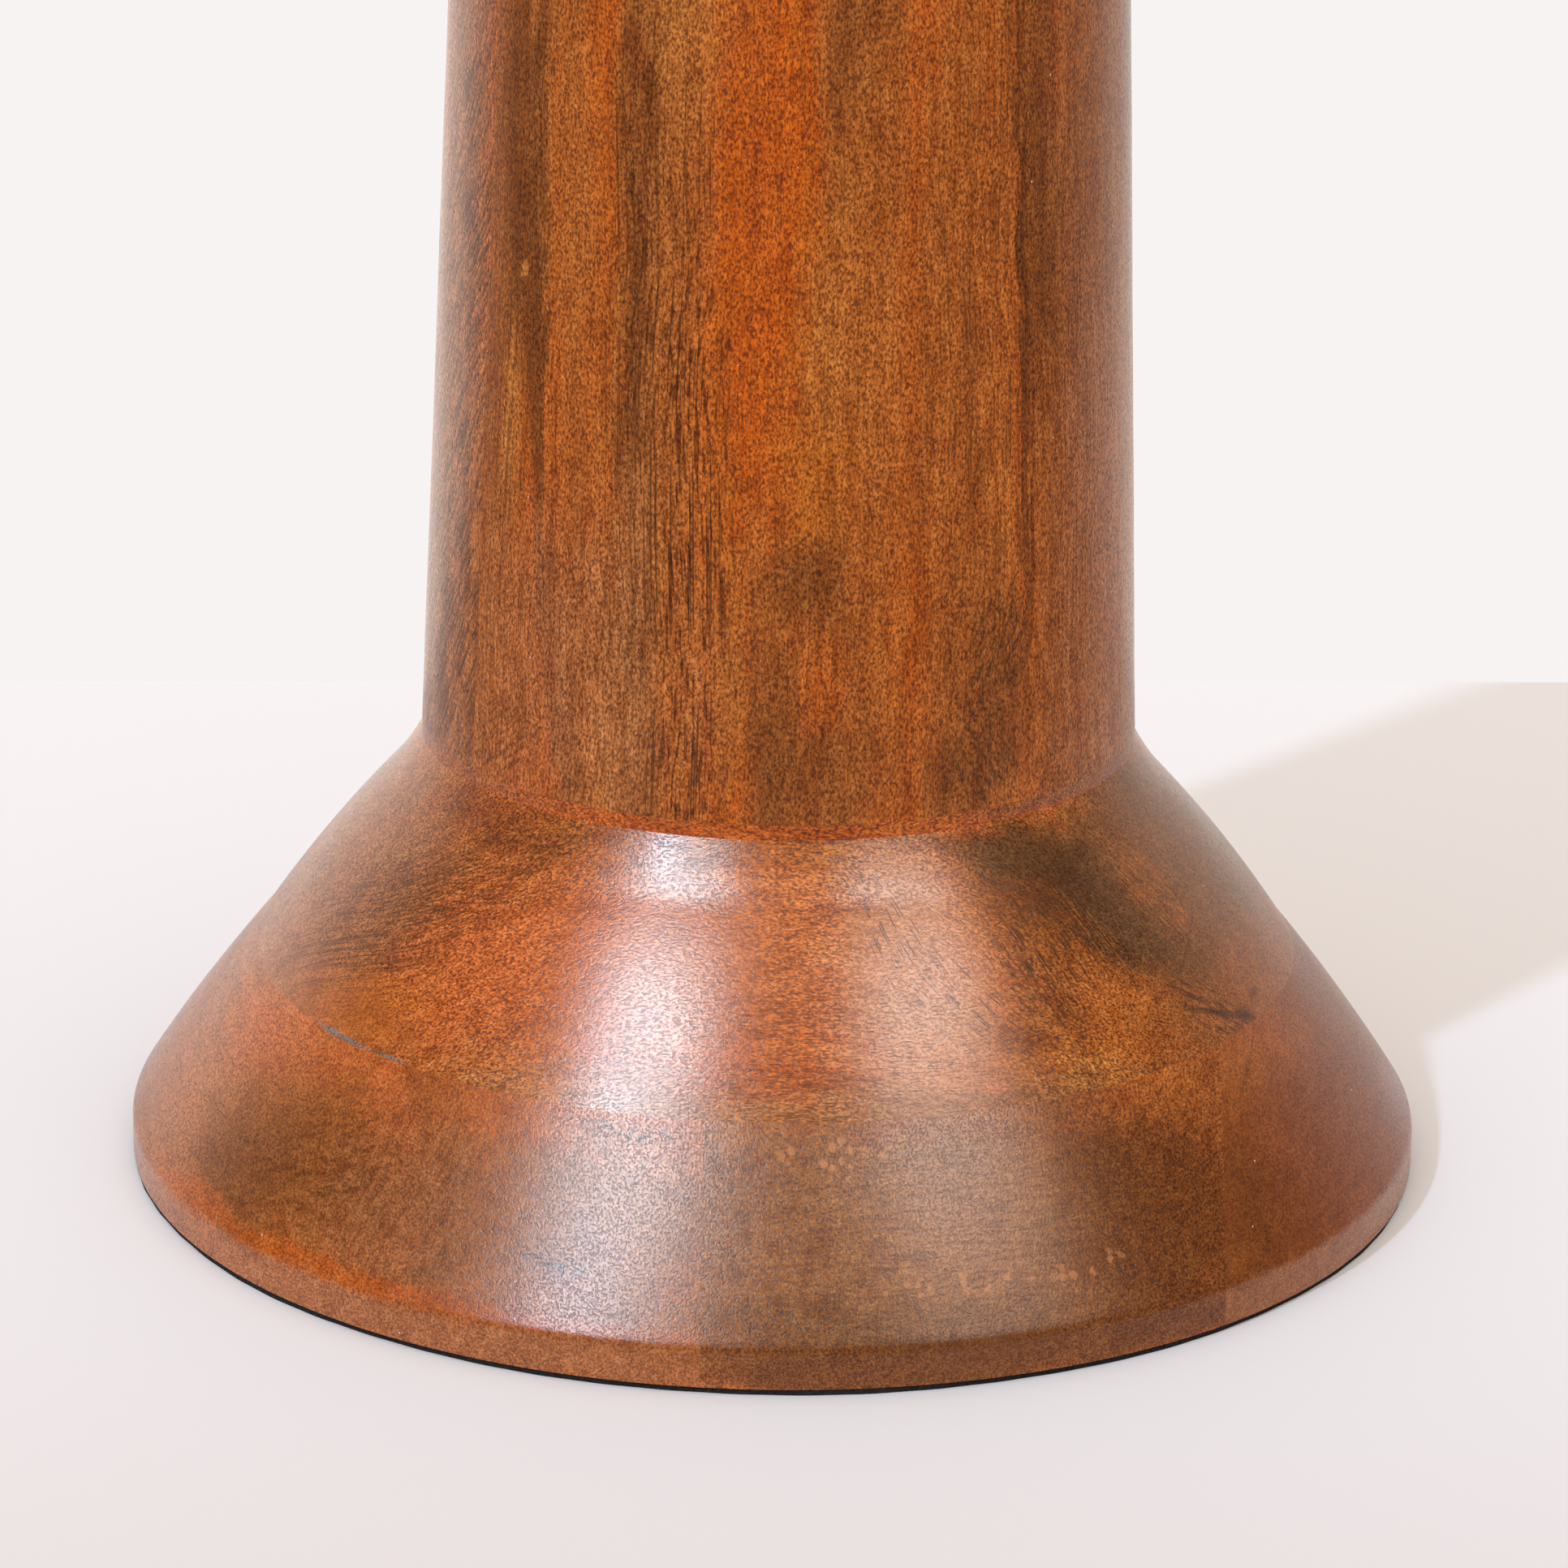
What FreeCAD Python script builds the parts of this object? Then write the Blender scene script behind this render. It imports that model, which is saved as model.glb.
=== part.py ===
"""Turned wooden candle stand, base centre on the floor at the origin, +Z up, millimetres.

A cone-shaped base of two glued layers carries a tapered column of two glued halves and a flared
candle cup. A threaded rod through the middle clamps them. A metal drip pan lifts out of the cup
over a fixed candle spike, and a thin pad covers the underside.
"""
import FreeCAD, Part
import math
import os

Vector = FreeCAD.Vector

# Base and its pad
pad_thickness = 0.7
pad_inset = 0.2
base_diameter = 150.0
rim_height = 4.25
rim_edge_radius = 2.3
lower_layer_thickness = 24.4
upper_layer_thickness = 26.9
left_seam_x = -7.3
right_seam_x = 49.5
lower_layer_crown = 0.38
upper_layer_crown = 0.56
seam_stand = 0.75
crease_stand = 3.6
crease_drop = 7.4
cove_hollow = 0.12
ring_height = 1.7

# Column
column_foot_diameter = 82.0
column_top_diameter = 67.0
column_length = 190.0
column_seam_azimuth = 214.0
foot_tenon_diameter = 40.0
foot_tenon_length = 18.0
head_tenon_diameter = 32.0
head_tenon_length = 12.0

# Candle cup
cup_diameter = 104.0
cup_height = 40.0
cup_rim_height = 5.0
cup_crown = 0.4
cup_edge_round = 1.0
cup_cove_radius = 8.5
cup_cove_margin = 0.5

# Drip pan
pan_inner_diameter = 84.0
pan_thickness = 1.0
pan_depth = 7.4
pan_bend_radius = 3.0
pan_lip_width = 4.5
pan_lip_bend_radius = 0.8
lip_round_share = 0.45

# Candle spike
spike_base_diameter = 6.4
spike_tip_diameter = 1.2
spike_length = 34.0
hub_across_flats = 17.0
hub_roof = 2.4

# Threaded rod and its fasteners, M8
rod_diameter = 8.0
rod_end_chamfer = 0.8
rod_overhang = 2.5
thread_engagement = 9.0
nut_across_flats = 13.0
nut_height = 6.5
large_washer_diameter = 24.0
large_washer_thickness = 2.0
lock_washer_diameter = 14.8
lock_washer_thickness = 2.0
lock_washer_slot = 1.6
hex_chamfer_angle = 30.0

# Clearances
tenon_clearance = 0.15
socket_end_clearance = 0.5
rod_hole_clearance = 0.5
thread_clearance = 0.05
washer_clearance = 0.3
pocket_clearance = 2.0
hub_sink = 0.4
bore_end_clearance = 0.6
pan_clearance = 0.5
pan_lip_gap = 0.4
spike_clearance = 0.8
cut_margin = 1.0
edge_match_tolerance = 1e-4

# Radii that several pieces share
base_radius = base_diameter / 2
foot_radius = column_foot_diameter / 2
neck_radius = column_top_diameter / 2
cup_radius = cup_diameter / 2
rod_radius = rod_diameter / 2
rod_hole_radius = rod_radius + rod_hole_clearance
thread_bore_radius = rod_radius + thread_clearance
washer_bore_radius = rod_radius + washer_clearance
nut_pocket_radius = large_washer_diameter / 2 + pocket_clearance
pan_inner_radius = pan_inner_diameter / 2
pan_outer_radius = pan_inner_radius + pan_thickness
recess_radius = pan_outer_radius + pan_clearance
hub_pocket_radius = max(large_washer_diameter / 2, hub_across_flats / math.sqrt(3)) + pocket_clearance

# Levels, from the floor up
layer_seam_z = pad_thickness + lower_layer_thickness
base_top_z = layer_seam_z + upper_layer_thickness
rim_top_z = pad_thickness + rim_height
column_top_z = base_top_z + column_length
cup_top_z = column_top_z + cup_height
cup_rim_z = cup_top_z - cup_rim_height
recess_floor_z = cup_top_z + pan_lip_gap - pan_depth
fastener_stack = large_washer_thickness + lock_washer_thickness + nut_height
nut_pocket_roof_z = pad_thickness + pocket_clearance + rod_overhang + fastener_stack
lock_washer_top_z = nut_pocket_roof_z - large_washer_thickness
nut_top_z = lock_washer_top_z - lock_washer_thickness
rod_bottom_z = nut_top_z - nut_height - rod_overhang
hub_height = thread_engagement + bore_end_clearance + hub_roof
hub_top_z = recess_floor_z - hub_sink
hub_bottom_z = hub_top_z - hub_height
hub_pocket_floor_z = hub_bottom_z - large_washer_thickness
rod_top_z = hub_bottom_z + thread_engagement


def at(radius, height):
    """Point of a turning outline, in the XZ plane."""
    return Vector(radius, 0, height)


def crowned_edge(start, end, crown):
    """Arc from start to end that bulges to the right of its way, or to the left if crown is negative."""
    along = end - start
    outward = Vector(along.z, 0, -along.x).normalize()
    middle = (start + end) * 0.5 + outward * crown
    return Part.Arc(start, middle, end).toShape()


def turned(points, crowns=None):
    """Solid turned about the Z axis from a closed outline. crowns gives the crown of a side by its index."""
    crowns = crowns or {}
    edges = []
    for index, start in enumerate(points):
        end = points[(index + 1) % len(points)]
        if index in crowns:
            edges.append(crowned_edge(start, end, crowns[index]))
        else:
            edges.append(Part.LineSegment(start, end).toShape())
    face = Part.Face(Part.Wire(edges))
    return face.revolve(Vector(0, 0, 0), Vector(0, 0, 1), 360)


def rounded_rings(solid, rings):
    """Round the circular edges given as (edge radius, height, rounding radius)."""
    for edge_radius, height, rounding in rings:
        circles = [edge for edge in solid.Edges if isinstance(edge.Curve, Part.Circle)]
        matches = []
        for edge in circles:
            same_radius = abs(edge.Curve.Radius - edge_radius) < edge_match_tolerance
            same_height = abs(edge.Curve.Center.z - height) < edge_match_tolerance
            if same_radius and same_height:
                matches.append(edge)
        solid = solid.makeFillet(rounding, matches)
    return solid


def disc(radius, bottom_z, top_z):
    """Upright cylinder on the stand's axis."""
    return Part.makeCylinder(radius, top_z - bottom_z, Vector(0, 0, bottom_z))


def ring(outer_radius, inner_radius, bottom_z, top_z):
    """Flat ring on the stand's axis."""
    hole = disc(inner_radius, bottom_z - cut_margin, top_z + cut_margin)
    return disc(outer_radius, bottom_z, top_z).cut(hole)


def hex_bar(across_flats, bottom_z, top_z):
    """Hexagonal bar with its corners turned off at both ends."""
    corner_radius = across_flats / math.sqrt(3)
    corners = []
    for step in range(7):
        angle = math.radians(60 * step)
        corners.append(Vector(corner_radius * math.cos(angle), corner_radius * math.sin(angle), bottom_z))
    bar = Part.Face(Part.makePolygon(corners)).extrude(Vector(0, 0, top_z - bottom_z))
    flat_radius = across_flats / 2
    drop = (corner_radius - flat_radius) * math.tan(math.radians(hex_chamfer_angle))
    barrel = turned([
        at(0, bottom_z),
        at(flat_radius, bottom_z),
        at(corner_radius, bottom_z + drop),
        at(corner_radius, top_z - drop),
        at(flat_radius, top_z),
        at(0, top_z),
    ])
    return bar.common(barrel)


def slab(low_x, high_x, low_z, high_z):
    """Block between two upright planes across X and two levels, wider than the base."""
    reach = base_diameter
    size_x = high_x - low_x
    return Part.makeBox(size_x, 2 * reach, high_z - low_z, Vector(low_x, -reach, low_z))


def make_base_blank():
    """Whole turned base, with the column's socket, the rod's hole and the nut's pocket.

    Each layer of its cone has a crown of its own, and a shallow cove runs from a crease to the ring on top.
    """
    crease_radius = foot_radius + crease_stand
    crease_z = base_top_z - crease_drop
    rise_share = (layer_seam_z - rim_top_z) / (crease_z - rim_top_z)
    seam_radius = base_radius + (crease_radius - base_radius) * rise_share + seam_stand
    blank = turned([
        at(0, pad_thickness),
        at(base_radius, pad_thickness),
        at(base_radius, rim_top_z),
        at(seam_radius, layer_seam_z),
        at(crease_radius, crease_z),
        at(foot_radius, base_top_z - ring_height),
        at(foot_radius, base_top_z),
        at(0, base_top_z),
    ], crowns={2: lower_layer_crown, 3: upper_layer_crown, 4: -cove_hollow})
    blank = rounded_rings(blank, [(base_radius, rim_top_z, rim_edge_radius)])
    socket_radius = foot_tenon_diameter / 2 + tenon_clearance
    socket_floor_z = base_top_z - foot_tenon_length - socket_end_clearance
    socket = disc(socket_radius, socket_floor_z, base_top_z + cut_margin)
    rod_hole = disc(rod_hole_radius, 0, base_top_z)
    nut_pocket = disc(nut_pocket_radius, 0, nut_pocket_roof_z)
    return blank.cut(socket).cut(rod_hole).cut(nut_pocket)


def make_base_pieces():
    """Upper board and the three strips of the lower layer."""
    blank = make_base_blank()
    reach = base_diameter
    lower = blank.common(slab(-reach, reach, 0, layer_seam_z))
    return {
        "base_upper_board": blank.common(slab(-reach, reach, layer_seam_z, base_top_z + cut_margin)),
        "base_left_strip": lower.common(slab(-reach, left_seam_x, 0, layer_seam_z)),
        "base_middle_strip": lower.common(slab(left_seam_x, right_seam_x, 0, layer_seam_z)),
        "base_right_strip": lower.common(slab(right_seam_x, reach, 0, layer_seam_z)),
    }


def make_base_pad():
    """Thin round pad over the whole underside."""
    return disc(base_radius - pad_inset, 0, pad_thickness)


def make_column_pieces():
    """Tapered column with a tenon at each end, split into halves by an upright plane on its axis."""
    tenon_bottom_z = base_top_z - foot_tenon_length
    tenon_top_z = column_top_z + head_tenon_length
    column = turned([
        at(0, tenon_bottom_z),
        at(foot_tenon_diameter / 2, tenon_bottom_z),
        at(foot_tenon_diameter / 2, base_top_z),
        at(foot_radius, base_top_z),
        at(neck_radius, column_top_z),
        at(head_tenon_diameter / 2, column_top_z),
        at(head_tenon_diameter / 2, tenon_top_z),
        at(0, tenon_top_z),
    ])
    column = column.cut(disc(rod_hole_radius, 0, tenon_top_z + cut_margin))
    reach = column_foot_diameter
    height = tenon_top_z + cut_margin
    front_half = Part.makeBox(2 * reach, reach, height, Vector(-reach, 0, 0))
    front_half.rotate(Vector(0, 0, 0), Vector(0, 0, 1), column_seam_azimuth)
    return {
        "column_front_half": column.common(front_half),
        "column_rear_half": column.cut(front_half),
    }


def make_candle_cup():
    """Flared cup with the pan's recess above, the hub's pocket under it and the column's socket."""
    run = cup_radius - neck_radius
    rise = cup_rim_z - column_top_z
    flare = math.atan2(run, rise) + 4 * cup_crown / math.hypot(run, rise)
    collar_top_z = column_top_z + cup_cove_radius * math.tan(flare / 2) + cup_cove_margin
    cup = turned([
        at(0, column_top_z),
        at(neck_radius, column_top_z),
        at(neck_radius, collar_top_z),
        at(cup_radius, cup_rim_z),
        at(cup_radius, cup_top_z),
        at(recess_radius, cup_top_z),
        at(recess_radius, recess_floor_z),
        at(0, recess_floor_z),
    ], crowns={2: cup_crown})
    cup = rounded_rings(cup, [
        (neck_radius, collar_top_z, cup_cove_radius),
        (cup_radius, cup_rim_z, rim_edge_radius),
        (cup_radius, cup_top_z, cup_edge_round),
        (recess_radius, cup_top_z, cup_edge_round),
    ])
    socket_radius = head_tenon_diameter / 2 + tenon_clearance
    socket_top_z = column_top_z + head_tenon_length + socket_end_clearance
    socket = disc(socket_radius, column_top_z - cut_margin, socket_top_z)
    rod_hole = disc(rod_hole_radius, column_top_z, cup_top_z)
    hub_pocket = disc(hub_pocket_radius, hub_pocket_floor_z, cup_top_z)
    return cup.cut(socket).cut(rod_hole).cut(hub_pocket)


def make_drip_pan():
    """Spun pan with a flat floor, a bent corner, an outward lip and a hole for the spike."""
    hole_radius = spike_base_diameter / 2 + spike_clearance
    floor_top_z = recess_floor_z + pan_thickness
    lip_bottom_z = cup_top_z + pan_lip_gap
    lip_top_z = lip_bottom_z + pan_thickness
    lip_radius = pan_outer_radius + pan_lip_width
    pan = turned([
        at(hole_radius, recess_floor_z),
        at(pan_outer_radius, recess_floor_z),
        at(pan_outer_radius, lip_bottom_z),
        at(lip_radius, lip_bottom_z),
        at(lip_radius, lip_top_z),
        at(pan_inner_radius, lip_top_z),
        at(pan_inner_radius, floor_top_z),
        at(hole_radius, floor_top_z),
    ])
    lip_round = pan_thickness * lip_round_share
    return rounded_rings(pan, [
        (pan_outer_radius, recess_floor_z, pan_bend_radius + pan_thickness),
        (pan_inner_radius, floor_top_z, pan_bend_radius),
        (pan_outer_radius, lip_bottom_z, pan_lip_bend_radius),
        (pan_inner_radius, lip_top_z, pan_lip_bend_radius + pan_thickness),
        (lip_radius, lip_bottom_z, lip_round),
        (lip_radius, lip_top_z, lip_round),
    ])


def make_candle_spike():
    """Hexagonal hub with a blind thread below and the candle's spike above."""
    tip_radius = spike_tip_diameter / 2
    tip_z = hub_top_z + spike_length
    spike = turned([
        at(0, hub_bottom_z + thread_engagement + bore_end_clearance),
        at(spike_base_diameter / 2, hub_bottom_z + thread_engagement + bore_end_clearance),
        at(spike_base_diameter / 2, hub_top_z),
        at(tip_radius, tip_z - tip_radius),
        at(0, tip_z),
    ])
    bore = disc(thread_bore_radius, hub_bottom_z - cut_margin, rod_top_z + bore_end_clearance)
    hub = hex_bar(hub_across_flats, hub_bottom_z, hub_top_z).cut(bore)
    return hub.fuse(spike).removeSplitter()


def make_tie_rod():
    """Threaded rod from the nut in the base to the spike's hub, with chamfered ends."""
    end_radius = rod_radius - rod_end_chamfer
    return turned([
        at(0, rod_bottom_z),
        at(end_radius, rod_bottom_z),
        at(rod_radius, rod_bottom_z + rod_end_chamfer),
        at(rod_radius, rod_top_z - rod_end_chamfer),
        at(end_radius, rod_top_z),
        at(0, rod_top_z),
    ])


def make_rod_nut():
    """Hexagonal nut under the base's washers."""
    bottom_z = nut_top_z - nut_height
    bore = disc(thread_bore_radius, bottom_z - cut_margin, nut_top_z + cut_margin)
    return hex_bar(nut_across_flats, bottom_z, nut_top_z).cut(bore)


def make_lock_washer():
    """Split spring washer, drawn flat as it is when tightened."""
    bottom_z = nut_top_z
    washer = ring(lock_washer_diameter / 2, washer_bore_radius, bottom_z, lock_washer_top_z)
    slot_height = lock_washer_thickness + 2 * cut_margin
    slot_corner = Vector(0, -lock_washer_slot / 2, bottom_z - cut_margin)
    slot = Part.makeBox(lock_washer_diameter, lock_washer_slot, slot_height, slot_corner)
    return washer.cut(slot)


def make_large_washer(bottom_z):
    """Wide flat washer that spreads the clamping load on the wood."""
    top_z = bottom_z + large_washer_thickness
    return ring(large_washer_diameter / 2, washer_bore_radius, bottom_z, top_z)


def make_parts():
    """Every piece of the stand, by node name."""
    parts = {}
    parts.update(make_base_pieces())
    parts["base_pad"] = make_base_pad()
    parts.update(make_column_pieces())
    parts["candle_cup"] = make_candle_cup()
    parts["drip_pan"] = make_drip_pan()
    parts["candle_spike"] = make_candle_spike()
    parts["spike_washer"] = make_large_washer(hub_pocket_floor_z)
    parts["tie_rod"] = make_tie_rod()
    parts["rod_washer"] = make_large_washer(lock_washer_top_z)
    parts["lock_washer"] = make_lock_washer()
    parts["rod_nut"] = make_rod_nut()
    return parts


os.makedirs("parts", exist_ok=True)
for node, shape in make_parts().items():
    shape.exportStep("parts/" + node + ".step")
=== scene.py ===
"""Turned wooden candle stand: the looks of its pieces, the floor, the light and the camera, in metres.

The wooden pieces are turned meshes of a stained hardwood with pores, figure and stain clouds under a
satin lacquer. A felt pad, a spun brass pan, a brass spike and zinc-plated fasteners go with them.
"""
import math

import bmesh
import bpy
from mathutils import Matrix, Vector


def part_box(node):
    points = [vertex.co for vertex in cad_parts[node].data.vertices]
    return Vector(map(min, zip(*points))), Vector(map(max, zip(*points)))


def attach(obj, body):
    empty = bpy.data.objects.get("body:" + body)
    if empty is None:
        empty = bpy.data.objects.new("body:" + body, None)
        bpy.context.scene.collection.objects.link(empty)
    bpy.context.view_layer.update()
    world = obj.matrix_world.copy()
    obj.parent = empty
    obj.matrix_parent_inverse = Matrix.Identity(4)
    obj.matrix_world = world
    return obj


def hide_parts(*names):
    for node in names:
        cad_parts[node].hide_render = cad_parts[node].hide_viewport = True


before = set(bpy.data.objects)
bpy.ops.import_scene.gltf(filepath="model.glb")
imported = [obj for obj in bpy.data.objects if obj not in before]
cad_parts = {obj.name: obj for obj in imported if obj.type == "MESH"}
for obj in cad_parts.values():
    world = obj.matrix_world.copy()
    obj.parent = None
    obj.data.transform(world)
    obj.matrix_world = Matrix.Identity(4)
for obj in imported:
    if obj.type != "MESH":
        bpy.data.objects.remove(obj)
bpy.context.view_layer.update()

mm = 0.001

# Turned profile
base_radius = 75.0 * mm
foot_radius = 41.0 * mm
neck_radius = 33.5 * mm
cup_radius = 52.0 * mm
rim_height = 4.25 * mm
rim_edge_radius = 2.3 * mm
lower_layer_crown = 0.38 * mm
upper_layer_crown = 0.56 * mm
seam_stand = 0.75 * mm
crease_stand = 3.6 * mm
crease_drop = 7.4 * mm
cove_hollow = 0.12 * mm
crease_reach = 2.2 * mm
ring_height = 1.7 * mm
cup_rim_height = 5.0 * mm
cup_crown = 0.4 * mm
cup_edge_round = 1.0 * mm
cup_cove_radius = 8.5 * mm
cup_cove_margin = 0.5 * mm
joint_chamfer = 0.02 * mm

# Sockets, pockets and holes inside the wood
rod_hole_radius = 4.5 * mm
foot_tenon_radius = 20.0 * mm
head_tenon_radius = 16.0 * mm
tenon_clearance = 0.15 * mm
socket_end_clearance = 0.5 * mm
pocket_radius = 14.0 * mm
recess_radius = 43.5 * mm

# Drip pan
pan_hole_radius = 4.0 * mm
pan_inner_radius = 42.0 * mm
pan_thickness = 1.0 * mm
pan_bend_radius = 3.0 * mm
pan_lip_bend_radius = 0.8 * mm
pan_lip_round = 0.45 * mm
pan_lip_radius = 47.5 * mm
spin_pitch = 1.7 * mm
spin_depth = 0.02 * mm

# Felt pad
pad_radius = 74.8 * mm
pad_edge_waver = 0.14 * mm
pad_face_rings = [0.3, 0.9, 1.0]

# Levels and seams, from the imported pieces
pad_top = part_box("base_pad")[1].z
layer_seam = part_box("base_upper_board")[0].z
base_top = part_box("base_upper_board")[1].z
foot_tenon_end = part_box("column_front_half")[0].z
head_tenon_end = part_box("column_front_half")[1].z
column_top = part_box("candle_cup")[0].z
cup_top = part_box("candle_cup")[1].z
nut_pocket_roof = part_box("rod_washer")[1].z
hub_pocket_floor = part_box("spike_washer")[0].z
pan_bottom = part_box("drip_pan")[0].z
pan_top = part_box("drip_pan")[1].z
left_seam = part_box("base_middle_strip")[0].x
right_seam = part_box("base_middle_strip")[1].x

# Azimuth of the plane between the column's halves, in degrees
column_seam_azimuth = 214.0

# Fineness of the turned meshes
segments = 480
fine_step = 0.5 * mm
column_step = 2.0 * mm
smoothing_rounds = 12
wobble_from_radius = 30.0 * mm
wobble_depth = 0.035 * mm
sharp_angle = math.radians(25)
cut_tolerance = 0.0001 * mm


def point(radius, height):
    """Point of a turning outline."""
    return Vector((radius, height))


def straight(start, end, step):
    """Points along a straight stretch of an outline, both ends included."""
    count = max(1, math.ceil((end - start).length / step))
    return [start.lerp(end, index / count) for index in range(count + 1)]


def arc(centre, radius, start_angle, end_angle, step):
    """Points along a round stretch of an outline, both ends included."""
    count = max(4, math.ceil(radius * abs(end_angle - start_angle) / step))
    points = []
    for index in range(count + 1):
        angle = start_angle + (end_angle - start_angle) * index / count
        points.append(centre + point(math.cos(angle), math.sin(angle)) * radius)
    return points


def direction(vector):
    """Angle of an outline vector from the outward horizontal."""
    return math.atan2(vector.y, vector.x)


def ball_centre(ball_radius, centre, distance, side):
    """Centre of a rounding ball at that radius from the axis and that distance from a circle's centre."""
    run = ball_radius - centre.x
    return point(ball_radius, centre.y + side * math.sqrt(distance ** 2 - run ** 2))


def crown_circle(start, end, crown):
    """Centre and radius of a circle through two points that bulges to the right of the way by crown.

    With a negative crown it bulges to the left.
    """
    chord = end - start
    radius = (chord.length_squared / 4 + crown ** 2) / (2 * abs(crown))
    outward = point(chord.y, -chord.x).normalized()
    return (start + end) / 2 + outward * (crown - math.copysign(radius, crown)), radius


def crowned(start, end, crown, step):
    """Points along an arc between two points, with the crown of crown_circle."""
    centre, radius = crown_circle(start, end, crown)
    return arc(centre, radius, direction(start - centre), direction(end - centre), step)


def eased(side, corner, reach):
    """Outer side with its bend at a corner smoothed away, as sanding does, within a reach."""
    for _ in range(smoothing_rounds):
        smooth = [side[0]]
        for before, spot, after in zip(side, side[1:], side[2:]):
            near = (spot - corner).length < reach
            smooth.append((before + spot * 2 + after) / 4 if near else spot)
        side = smooth + [side[-1]]
    return side


def base_corners():
    """Corners of the base's outer side: its rim, the seam of its layers and the crease under the cove."""
    rim = point(base_radius, pad_top + rim_height)
    crease = point(foot_radius + crease_stand, base_top - crease_drop)
    rise_share = (layer_seam - rim.y) / (crease.y - rim.y)
    seam = rim.lerp(crease, rise_share) + point(seam_stand, 0)
    return rim, seam, crease


def lower_side():
    """Outer side of the base's lower layer, from its underside round the rim to the seam."""
    rim, seam, _ = base_corners()
    centre, radius = crown_circle(rim, seam, lower_layer_crown)
    edge_ball = ball_centre(base_radius - rim_edge_radius, centre, radius - rim_edge_radius, 1)
    edge_angle = direction(edge_ball - centre)
    rounding = arc(edge_ball, rim_edge_radius, 0, edge_angle, fine_step / 2)
    side = straight(point(base_radius, pad_top), rounding[0], fine_step)
    side += rounding[1:]
    side += arc(centre, radius, edge_angle, direction(seam - centre), fine_step)[1:]
    return side


def upper_side():
    """Outer side of the base's upper layer, from the seam over the crease, cove and ring to the top."""
    _, seam, crease = base_corners()
    ring_bottom = point(foot_radius, base_top - ring_height)
    side = crowned(seam, crease, upper_layer_crown, fine_step)
    side += crowned(crease, ring_bottom, -cove_hollow, fine_step)[1:]
    side = eased(side, crease, crease_reach)
    side += straight(ring_bottom, point(foot_radius, base_top - joint_chamfer), fine_step / 2)[1:]
    side.append(point(foot_radius - joint_chamfer, base_top))
    return side


def upper_board_outline():
    """Closed outline of the base's upper layer."""
    socket_radius = foot_tenon_radius + tenon_clearance
    socket_floor = foot_tenon_end - socket_end_clearance
    return upper_side() + [
        point(socket_radius, base_top),
        point(socket_radius, socket_floor),
        point(rod_hole_radius, socket_floor),
        point(rod_hole_radius, layer_seam),
    ]


def lower_layer_outline():
    """Closed outline of the base's lower layer, before it is cut into strips."""
    outline = [point(pocket_radius, pad_top)]
    outline += lower_side()
    outline += [
        point(rod_hole_radius, layer_seam),
        point(rod_hole_radius, nut_pocket_roof),
        point(pocket_radius, nut_pocket_roof),
    ]
    return outline


def column_outline():
    """Closed outline of the tapered column with its tenons."""
    outline = [
        point(rod_hole_radius, foot_tenon_end),
        point(foot_tenon_radius, foot_tenon_end),
        point(foot_tenon_radius, base_top),
        point(foot_radius - joint_chamfer, base_top),
    ]
    outline += straight(
        point(foot_radius, base_top + joint_chamfer),
        point(neck_radius, column_top - joint_chamfer),
        column_step,
    )
    outline += [
        point(neck_radius - joint_chamfer, column_top),
        point(head_tenon_radius, column_top),
        point(head_tenon_radius, head_tenon_end),
        point(rod_hole_radius, head_tenon_end),
    ]
    return outline


def cup_flank():
    """Outer side of the cup, from its collar over the cove and the crowned flare to the rim."""
    rim = point(cup_radius, cup_top - cup_rim_height)
    run = cup_radius - neck_radius
    rise = rim.y - column_top
    flare = math.atan2(run, rise) + 4 * cup_crown / math.hypot(run, rise)
    collar = point(neck_radius, column_top + cup_cove_radius * math.tan(flare / 2) + cup_cove_margin)
    centre, radius = crown_circle(collar, rim, cup_crown)
    cove_ball = ball_centre(neck_radius + cup_cove_radius, centre, radius + cup_cove_radius, -1)
    edge_ball = ball_centre(cup_radius - rim_edge_radius, centre, radius - rim_edge_radius, -1)
    cove_angle = direction(cove_ball - centre)
    edge_angle = direction(edge_ball - centre)
    flank = arc(cove_ball, cup_cove_radius, -math.pi, cove_angle - math.pi, fine_step)
    flank += arc(centre, radius, cove_angle, edge_angle, fine_step)[1:]
    flank += arc(edge_ball, rim_edge_radius, edge_angle, 0, fine_step / 2)[1:]
    return flank


def cup_outline():
    """Closed outline of the candle cup with the pan's recess and the spike's pocket."""
    socket_radius = head_tenon_radius + tenon_clearance
    socket_top = head_tenon_end + socket_end_clearance
    outer_round = point(cup_radius - cup_edge_round, cup_top - cup_edge_round)
    inner_round = point(recess_radius + cup_edge_round, cup_top - cup_edge_round)
    outline = [
        point(rod_hole_radius, socket_top),
        point(socket_radius, socket_top),
        point(socket_radius, column_top),
        point(neck_radius - joint_chamfer, column_top),
        point(neck_radius, column_top + joint_chamfer),
    ]
    outline += cup_flank()
    outline += arc(outer_round, cup_edge_round, 0, math.pi / 2, fine_step / 2)
    outline += arc(inner_round, cup_edge_round, math.pi / 2, math.pi, fine_step / 2)
    outline += [
        point(recess_radius, pan_bottom),
        point(pocket_radius, pan_bottom),
        point(pocket_radius, hub_pocket_floor),
        point(rod_hole_radius, hub_pocket_floor),
    ]
    return outline


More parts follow.
